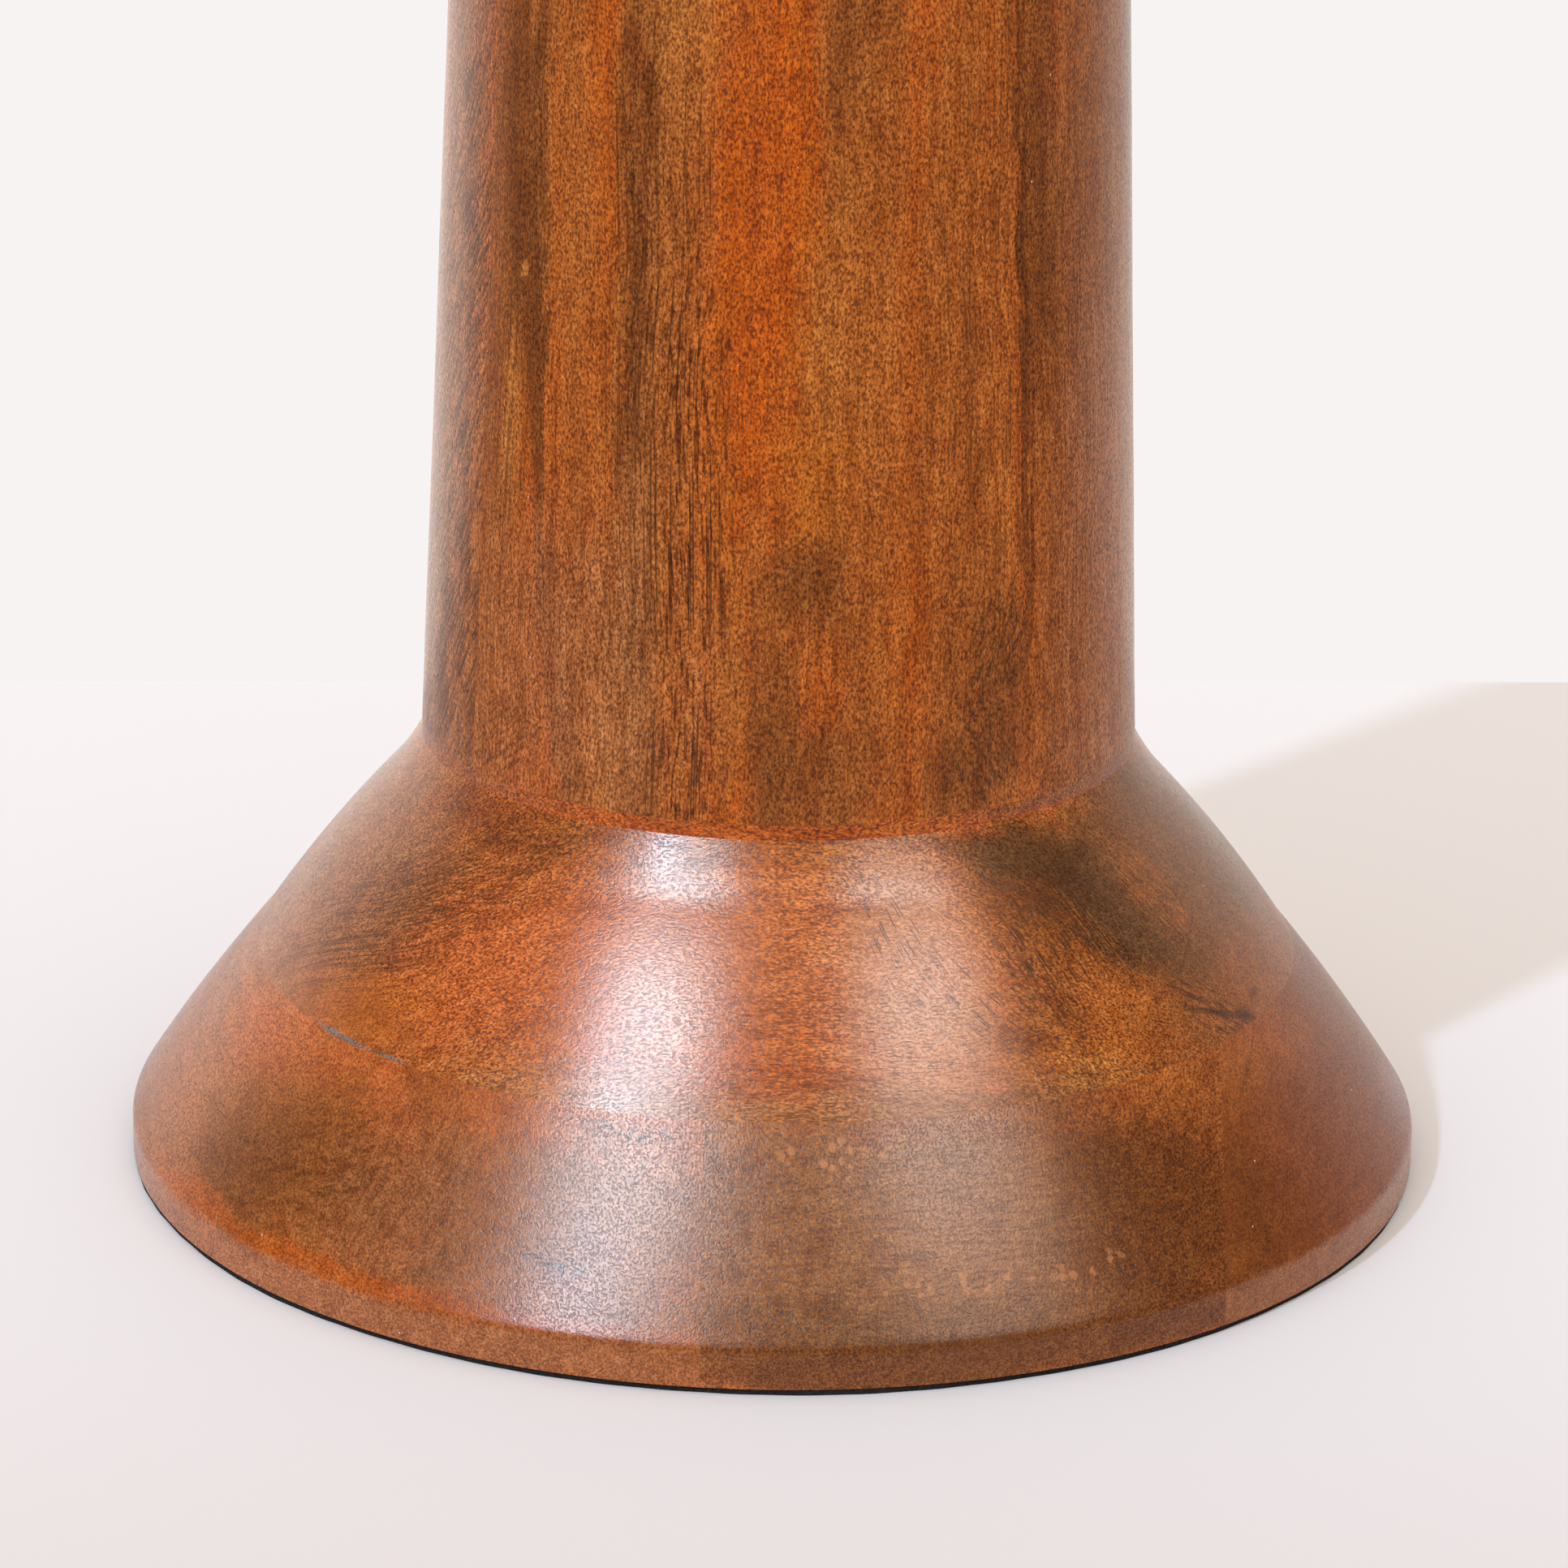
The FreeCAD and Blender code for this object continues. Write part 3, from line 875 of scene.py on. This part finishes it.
upper_board_marks = [
    (orange, 0.7, 0, 51.6, 400, 1.4, 0.1),
    (walnut, 0.7, 65, 51.6, 34, 1.4, 0.5),
    (brown, 0.6, -62, 51.6, 24, 1.4, 0.5),
    (filler, 0.8, -53, 25.2, 4.5, 0.22, 0.5),
    (filler, 0.7, -44.5, 25.2, 2.5, 0.2, 0.5),
    (soot, 0.75, 58, 27.4, 5.5, 0.4, 0.5, -20),
    (soot, 0.7, 62, 26, 1.6, 0.8, 0.5, -30),
    (umber, 0.6, 60, 34.6, 6.5, 0.14, 0.5, 22),
    (umber, 0.5, 66.5, 27.2, 1.2, 0.5),
]
upper_pore_zones = [
    (0.4, -56, 38, 14, 6, 0.6, 15),
]
upper_calm_zones = [
    (0.65, 18, 34, 10, 14, 0.4),
    (0.5, -13, 36, 12, 12),
    (0.15, 0, 33, 9, 10, 0.5),
    (0.4, -60, 27, 16, 4),
    (0.3, 45, 44, 14, 6, 0.5),
    (0.35, 70, 38, 20, 16, 0.4),
]

# Looks of the base's lower strips
left_strip_clouds = [
    (brown, 0.7, -115, 12, 24, 8, 0.6, 8),
    (tan, 0.5, -140, 20, 24, 6, 0.7),
    (pale_tan, 0.6, -76, 14, 20, 14, 0.5),
    (rust, 0.6, -60, 22, 18, 4, 0.5),
    (brown, 0.9, -50, 13.5, 13, 7.5),
    (walnut, 0.25, -46, 13, 16, 8),
    (umber, 0.45, -57, 10.5, 8, 4, 0.7, 10),
    (rust, 0.7, -40, 21, 8, 2.6, 0.6, -28),
    (grey_brown, 0.7, -33, 13, 10, 9),
    # Orange line along the rim's top edge: lighter wood with a painted highlight on the rounding
    (orange, 0.4, -45, 6.0, 28, 1.0),
    (grey_brown, 0.85, -16, 14, 14, 14),
    (rust, 0.65, -17, 25, 18, 3.2, 0.9),
    (pale_tan, 0.8, -45, 2.2, 50, 2.4, 0.4),
]
left_strip_strokes = [
    (umber, 3.0, 0.6, 0.4, -34, 14, 10, 8, 0.5, 88),
    (umber, 3.0, 0.9, 0.6, -48, 13, 10, 6, 0.5, 20),
    (soot, 0.9, 0.35, 0.85, -15, 24.2, 7, 0.9, 0.5, 0),
    (soot, 0.9, 0.4, 0.95, -19.5, 12, 3, 1.0, 0.5, 0),
]
left_strip_marks = [
    (filler, 0.6, -52, 25.05, 4, 0.15, 0.5),
    # Orange line along the rim's top edge: lighter wood with a painted highlight on the rounding
    (orange, 0.5, -30, 5.8, 26, 0.8, 0.8),
]
middle_strip_clouds = [
    (grey_brown, 0.7, -165, 13, 26, 9, 0.7),
    (grey_brown, 0.7, 165, 13, 26, 9, 0.7),
    (olive, 0.9, 12, 14, 24, 14, 0.5),
    (grey_brown, 0.6, -2, 15, 8, 12, 0.7),
    (sand, 0.7, 18, 16, 9, 10),
    (tan, 0.5, 10, 25.4, 20, 2.4, 0.9),
    (walnut, 0.6, 8, 7, 24, 2.4, 0.7),
    (umber, 0.8, 35, 15, 7, 12),
    (umber, 0.9, 43, 13, 6, 12),
    (umber, 0.6, 20, 3.2, 30, 2.8, 0.4),
    (tan, 0.7, 46, 24.6, 8, 3, 0.7),
    (brown, 0.8, 52, 21, 6, 5, 0.7),
    (red_brown, 0.6, 51, 11, 5, 9, 0.7),
]
middle_strip_strokes = [
    (umber, 3.0, 0.6, 0.2, 16, 14, 12, 22, 0.4, 90),
    (umber, 4.0, 0.4, 0.4, 14, 15, 24, 10, 0.5, 0),
]
middle_strip_marks = [
    (umber, 0.5, 19, 2.4, 25, 2.4, 0.1),
    # Dark line along the rim's rounded top edge: painted shade
    (umber, 0.55, 15, 5.0, 26, 0.8, 0.7),
]
middle_fleck_zones = [
    (0.65, 6, 22.3, 6, 1.6, 0.4),
    (0.6, 17, 10.4, 9, 0.9, 0.5),
    (0.55, 29, 9.8, 4, 1.8, 0.5),
]
middle_calm_zones = [
    (0.5, 18, 16, 10, 12, 0.5),
]
right_strip_clouds = [
    (brown, 0.6, 132, 14, 26, 9),
    (red_brown, 0.95, 76, 14, 32, 18, 0.25),
    (umber, 0.7, 44, 13, 9, 12, 0.7),
    (brown, 0.8, 52, 21, 6, 5, 0.7),
    (tan, 0.5, 58, 23.5, 14, 3.5, 0.7),
    (grey_brown, 0.75, 62, 2.2, 44, 2.6, 0.4),
]
right_strip_marks = [
    (umber, 0.5, 58, 22.4, 6, 0.15, 0.5, 27),
]

# Looks of the cup
cup_clouds = [
    (brown, 0.7, -50, 262, 34, 13, 0.6, 10),
    (tan, 0.6, 20, 264, 32, 14),
    (walnut, 0.6, 78, 268, 22, 9, 0.6, -12),
    (rust, 0.6, 130, 262, 28, 12, 0.7),
    (walnut, 0.5, -128, 266, 24, 8, 0.6, 8),
]

# Stops of the figure and directions of the grain
column_ground = [(0.3, umber), (0.42, brown), (0.5, tan), (0.6, orange), (0.7, golden)]
base_ground = [(0.28, red_brown), (0.42, brown), (0.52, tan), (0.62, rust), (0.74, amber)]

along_x = 0
along_y = 1
along_z = 2
base_shake = (10, 6, 0)
column_shake = (4, 10, 0)


def felt_material():
    """Black needled felt with a short nap."""
    nodes = new_nodes("pad_felt")
    place = nodes.millimetres()
    nap = nodes.noise(place, 3.0, 3.0, 0.7).outputs[0]
    colour = nodes.ramp(nap, [(0.3, (0.006, 0.006, 0.007, 1)), (0.75, (0.03, 0.03, 0.032, 1))])
    return nodes.surface(
        Base_Color=colour,
        Roughness=0.95,
        Specular_IOR_Level=0.15,
        Normal=nodes.bump(nap, 0.12),
    )


def brass_material():
    """Aged satin brass with turning marks and darker clouds."""
    nodes = new_nodes("pan_brass")
    place = nodes.millimetres()
    cloud = nodes.noise(place, 0.06, 4.0, 0.6).outputs[0]
    grime = nodes.noise(place, 0.7, 3.0, 0.7).outputs[0]
    flat = nodes.vector("MULTIPLY", place, (1, 1, 0))
    radius = nodes.add("ShaderNodeVectorMath", {0: flat}, operation="LENGTH").outputs["Value"]
    rings = nodes.noise(nodes.add("ShaderNodeCombineXYZ", {0: radius}).outputs[0], 4.0, 3.0).outputs[0]
    colour = nodes.ramp(cloud, [
        (0.3, (0.38, 0.24, 0.085, 1)),
        (0.55, (0.58, 0.39, 0.16, 1)),
        (0.75, (0.66, 0.46, 0.2, 1)),
    ])
    colour = nodes.mix(nodes.spread(grime, 0.55, 0.8, 0.0, 0.5), colour, (0.16, 0.1, 0.045, 1))
    wear = nodes.math("ADD", nodes.math("MULTIPLY", grime, 0.5), nodes.math("MULTIPLY", rings, 0.5))
    return nodes.surface(
        Base_Color=colour,
        Metallic=1.0,
        Roughness=nodes.spread(wear, 0.2, 0.8, 0.24, 0.46),
        Normal=nodes.bump(rings, 0.006),
    )


def zinc_material():
    """Zinc plating with faint spangle and dull spots."""
    nodes = new_nodes("fastener_steel")
    place = nodes.millimetres()
    spangle = nodes.noise(place, 1.2, 3.0, 0.7).outputs[0]
    colour = nodes.ramp(spangle, [(0.3, (0.42, 0.43, 0.44, 1)), (0.7, (0.62, 0.63, 0.63, 1))])
    return nodes.surface(
        Base_Color=colour,
        Metallic=1.0,
        Roughness=nodes.spread(spangle, 0.3, 0.7, 0.42, 0.28),
        Normal=nodes.bump(spangle, 0.01),
    )


def make_base():
    """Upper board and the three strips of the lower layer."""
    board = turned_mesh("base_upper_board_turned", upper_board_outline())
    board_wood = wood_material(
        "upper_board_wood", along_x, (40, 12, 7), base_ground, base_shake,
        pore_depth=0.3, band=0.06, gloss=0.39,
        clouds=upper_board_clouds, strokes=upper_board_strokes, dashes=upper_board_dashes,
        marks=upper_board_marks, pore_zones=upper_pore_zones, calm_zones=upper_calm_zones,
    )
    piece(board, "base_upper_board", "stand", board_wood)
    left_plane = (left_seam, 0, 0)
    right_plane = (right_seam, 0, 0)
    to_left = (-1, 0, 0)
    to_right = (1, 0, 0)
    left_wood = wood_material(
        "left_strip_wood", along_y, (-90, 31, 5), base_ground, base_shake,
        pore_depth=0.2, contrast=0.7, rough=0.21, gloss=0.32,
        clouds=left_strip_clouds, strokes=left_strip_strokes, marks=left_strip_marks,
    )
    middle_wood = wood_material(
        "middle_strip_wood", along_y, (15, -60, 44), base_ground, base_shake,
        pore_depth=0.2, contrast=0.85, rough=0.21, gloss=0.32,
        clouds=middle_strip_clouds, strokes=middle_strip_strokes, marks=middle_strip_marks,
        fleck_zones=middle_fleck_zones, calm_zones=middle_calm_zones,
    )
    right_wood = wood_material(
        "right_strip_wood", along_y, (120, 75, 90), base_ground, base_shake,
        pore_depth=0.1, contrast=0.55, rough=0.21, gloss=0.34,
        clouds=right_strip_clouds, marks=right_strip_marks,
    )
    strips = [
        ("base_left_strip", left_wood, [(left_plane, to_left)]),
        ("base_middle_strip", middle_wood, [(left_plane, to_right), (right_plane, to_left)]),
        ("base_right_strip", right_wood, [(right_plane, to_right)]),
    ]
    for node, wood, cuts in strips:
        strip = turned_mesh(node + "_turned", lower_layer_outline())
        for plane_point, plane_normal in cuts:
            keep_side(strip, plane_point, plane_normal)
        piece(strip, node, "stand", wood)


def make_column():
    """Two halves of the column, parted by an upright plane on its axis."""
    front_wood = wood_material(
        "column_front_wood", along_z, (5, 80, 13), column_ground, column_shake,
        pore_depth=0.5, band=0.12, contrast=0.88,
        clouds=column_front_clouds, strokes=column_front_strokes, dashes=column_front_dashes,
        marks=column_front_marks, pore_zones=column_pore_zones,
    )
    rear_wood = wood_material(
        "column_rear_wood", along_z, (-70, 25, 60), column_ground, column_shake,
        pore_depth=0.5, band=0.12,
        clouds=column_rear_clouds, strokes=column_rear_strokes, dashes=column_rear_dashes,
    )
    seam = math.radians(column_seam_azimuth)
    towards_front = Vector((-math.sin(seam), math.cos(seam), 0))
    halves = [
        ("column_front_half", towards_front, front_wood),
        ("column_rear_half", -towards_front, rear_wood),
    ]
    for node, normal, wood in halves:
        half = turned_mesh(node + "_turned", column_outline())
        keep_side(half, (0, 0, 0), normal)
        piece(half, node, "stand", wood)


def make_cup():
    """Candle cup."""
    cup = turned_mesh("candle_cup_turned", cup_outline())
    wood = wood_material(
        "cup_wood", along_x, (8, 33, 140), base_ground, base_shake, pore_depth=0.4, clouds=cup_clouds
    )
    piece(cup, "candle_cup", "stand", wood)


def make_pan(brass):
    """Spun drip pan."""
    pan = turned_mesh("drip_pan_spun", pan_outline())
    piece(pan, "drip_pan", "pan", brass)


def make_pad():
    """Felt pad, cut by hand a little inside the base's edge."""
    rings = [(share, pad_top) for share in pad_face_rings]
    rings.append((1.0, pad_top / 2))
    rings += [(share, 0) for share in reversed(pad_face_rings)]
    work = bmesh.new()
    loops = []
    for share, height in rings:
        loop = []
        for segment in range(segments):
            angle = 2 * math.pi * segment / segments
            waver = math.sin(5 * angle + 1) + math.sin(13 * angle)
            waver += math.sin(37 * angle) * math.sin(29 * angle)
            radius = share * (pad_radius + pad_edge_waver * (waver - 1) / 2)
            loop.append(work.verts.new((radius * math.sin(angle), -radius * math.cos(angle), height)))
        loops.append(loop)
    for inner, outer in zip(loops, loops[1:]):
        for segment in range(segments):
            ahead = (segment + 1) % segments
            work.faces.new((inner[segment], inner[ahead], outer[ahead], outer[segment]))
    work.faces.new(loops[0])
    work.faces.new(loops[-1])
    mesh = bpy.data.meshes.new("base_pad_felt")
    work.to_mesh(mesh)
    work.free()
    pad = piece(mesh, "base_pad", "stand", felt_material())


def paint_node(node, material):
    """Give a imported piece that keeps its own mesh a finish."""
    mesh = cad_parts[node].data
    mesh.materials.clear()
    mesh.materials.append(material)


# Floor, with distances in metres
floor_colour = srgb(251, 250, 250)
# Painted shade: the floor's colour darkens towards the front
floor_front_shade_colour = srgb(216, 204, 202)
floor_back_edge = 0.1775
floor_back_slant = 0.0956
floor_reach = 2.0

# Where the floor changes, in millimetres
floor_front_shade_fade = (-300, 0)
floor_mirror_fade = (100, 300)
floor_mirror_back = (80, 240)
floor_mirror_dimming = 0.95

# Surroundings
backdrop_colour = srgb(248, 243, 243)
world_colour = (1.0, 0.92, 0.86, 1)
world_light = 0.9
mirrored_front = 0.05
mirrored_back = 1.3
mirrored_right_share = 0.6

# Lights; a panel has its name, azimuth, elevation, width, height and radiance
key_direction = (-39.6, 39)
key_energy = 1.05
key_colour = (0.58, 0.74, 1.0)
key_width = math.radians(2.5)
panel_distance = 1.2
panel_colour = (0.68, 0.87, 0.97)
panels = [
    ("left_panel", -31.8, 41, 0.41, 0.29, 14.0),
    ("left_panel_top", -37, 52.8, 0.43, 0.21, 42.0),
    ("right_panel", 42, 41, 0.48, 0.29, 5.0),
    ("right_panel_top", 44.5, 52.8, 0.52, 0.21, 14.5),
]

# Camera
camera_place = (0, -0.6240, 0.25098)
camera_lens = 130.45
camera_sensor_width = 36
camera_pitch = math.radians(18.42)
camera_yaw = math.radians(0.067)
camera_roll = math.radians(0.9)


def make_floor():
    """Pale table top with painted shade darkening it towards the front; its back edge shows behind the
    stand; far off it is darker where mirrored.
    """
    mesh = bpy.data.meshes.new("floor")
    corners = [
        (-floor_reach, -floor_reach, 0),
        (floor_reach, -floor_reach, 0),
        (floor_reach, floor_back_edge + floor_back_slant, 0),
        (-floor_reach, floor_back_edge - floor_back_slant, 0),
    ]
    mesh.from_pydata(corners, [], [(0, 1, 2, 3)])
    nodes = new_nodes("floor_paint")
    place = nodes.millimetres()
    depth = nodes.add("ShaderNodeSeparateXYZ", {0: place}).outputs["Y"]
    # Painted shade: darker towards the front
    colour = nodes.mix(nodes.spread(depth, *floor_front_shade_fade), floor_front_shade_colour, floor_colour)
    mirrored = nodes.add("ShaderNodeLightPath", {}).outputs["Is Glossy Ray"]
    distance = nodes.add("ShaderNodeVectorMath", {0: place}, operation="LENGTH").outputs["Value"]
    dimming = nodes.spread(distance, *floor_mirror_fade, 0.0, floor_mirror_dimming)
    dimmed = nodes.math("MULTIPLY", mirrored, dimming)
    dimmed = nodes.math("MULTIPLY", dimmed, nodes.spread(depth, *floor_mirror_back, 1.0, 0.0))
    colour = nodes.mix(dimmed, colour, black)
    mesh.materials.append(nodes.surface(Base_Color=colour, Roughness=0.8, Specular_IOR_Level=0.1))
    new_object("floor", mesh)


def make_world():
    """Off-white surroundings: plain white where seen, darker in front where mirrored, softer as light."""
    world = bpy.data.worlds.new("studio")
    bpy.context.scene.world = world
    nodes = Nodes(world)
    way = nodes.add("ShaderNodeTexCoord", {}).outputs["Generated"]
    parts = nodes.add("ShaderNodeSeparateXYZ", {0: way})
    behind = nodes.spread(parts.outputs["Y"], 0.2, 0.75, mirrored_front, mirrored_back)
    to_right = nodes.spread(parts.outputs["X"], -0.2, 0.7, 1.0, mirrored_right_share)
    mirrored = nodes.math("MULTIPLY", behind, to_right)
    path = nodes.add("ShaderNodeLightPath", {})
    seen = nodes.math("MAXIMUM", path.outputs["Is Camera Ray"], path.outputs["Is Transmission Ray"])
    strength = nodes.spread(path.outputs["Is Glossy Ray"], 0.0, 1.0, world_light, mirrored)
    strength = nodes.spread(seen, 0.0, 1.0, strength, 1.0)
    colour = nodes.mix(seen, world_colour, backdrop_colour)
    surface = nodes.add("ShaderNodeBackground", {"Color": colour, "Strength": strength})
    nodes.add("ShaderNodeOutputWorld", {"Surface": surface.outputs[0]})


def new_light(name, light, place):
    """Object of a light at a place, aimed at the middle of the stand's foot."""
    made = new_object(name, light)
    made.location = place
    made.rotation_euler = (-place).to_track_quat("-Z", "Y").to_euler()
    return made


def sky_direction(azimuth, elevation):
    """Direction at an azimuth from the front, to the right, and an elevation, both in degrees."""
    level = math.cos(math.radians(elevation))
    turn = math.radians(azimuth)
    return Vector((level * math.sin(turn), -level * math.cos(turn), math.sin(math.radians(elevation))))


def make_key():
    """Small light from the front left, which gives the shadow."""
    key = bpy.data.lights.new("key", "SUN")
    key.energy = key_energy
    key.color = key_colour
    key.angle = key_width
    new_light("key", key, sky_direction(*key_direction))


def make_panel(name, azimuth, elevation, width, height, radiance):
    """Soft panel that only shows in the lacquer and the metal."""
    light = bpy.data.lights.new(name, "AREA")
    light.shape = "RECTANGLE"
    light.size = width
    light.size_y = height
    light.energy = radiance * math.pi * width * height
    light.color = panel_colour
    made = new_light(name, light, sky_direction(azimuth, elevation) * panel_distance)
    made.visible_camera = False
    made.visible_diffuse = False


def make_camera():
    """Camera at the photographed view, looking down on the base and rolled by about a degree."""
    camera = bpy.data.cameras.new("camera")
    camera.lens = camera_lens
    camera.sensor_width = camera_sensor_width
    made = new_object("camera", camera)
    level = math.cos(camera_pitch)
    forward = Vector((math.sin(camera_yaw) * level, math.cos(camera_yaw) * level, -math.sin(camera_pitch)))
    level_right = forward.cross(Vector((0, 0, 1))).normalized()
    level_up = level_right.cross(forward)
    right = level_right * math.cos(camera_roll) + level_up * math.sin(camera_roll)
    up = level_up * math.cos(camera_roll) - level_right * math.sin(camera_roll)
    turn = Matrix((right, up, -forward)).transposed().to_4x4()
    made.matrix_world = Matrix.Translation(camera_place) @ turn
    bpy.context.scene.camera = made


make_base()
make_column()
make_cup()
brass = brass_material()
zinc = zinc_material()
make_pan(brass)
make_pad()
paint_node("candle_spike", brass)
for fastener in ("spike_washer", "tie_rod", "rod_washer", "lock_washer", "rod_nut"):
    paint_node(fastener, zinc)
make_floor()
make_world()
make_key()
for panel in panels:
    make_panel(*panel)
make_camera()
bpy.context.scene.view_settings.view_transform = "Standard"
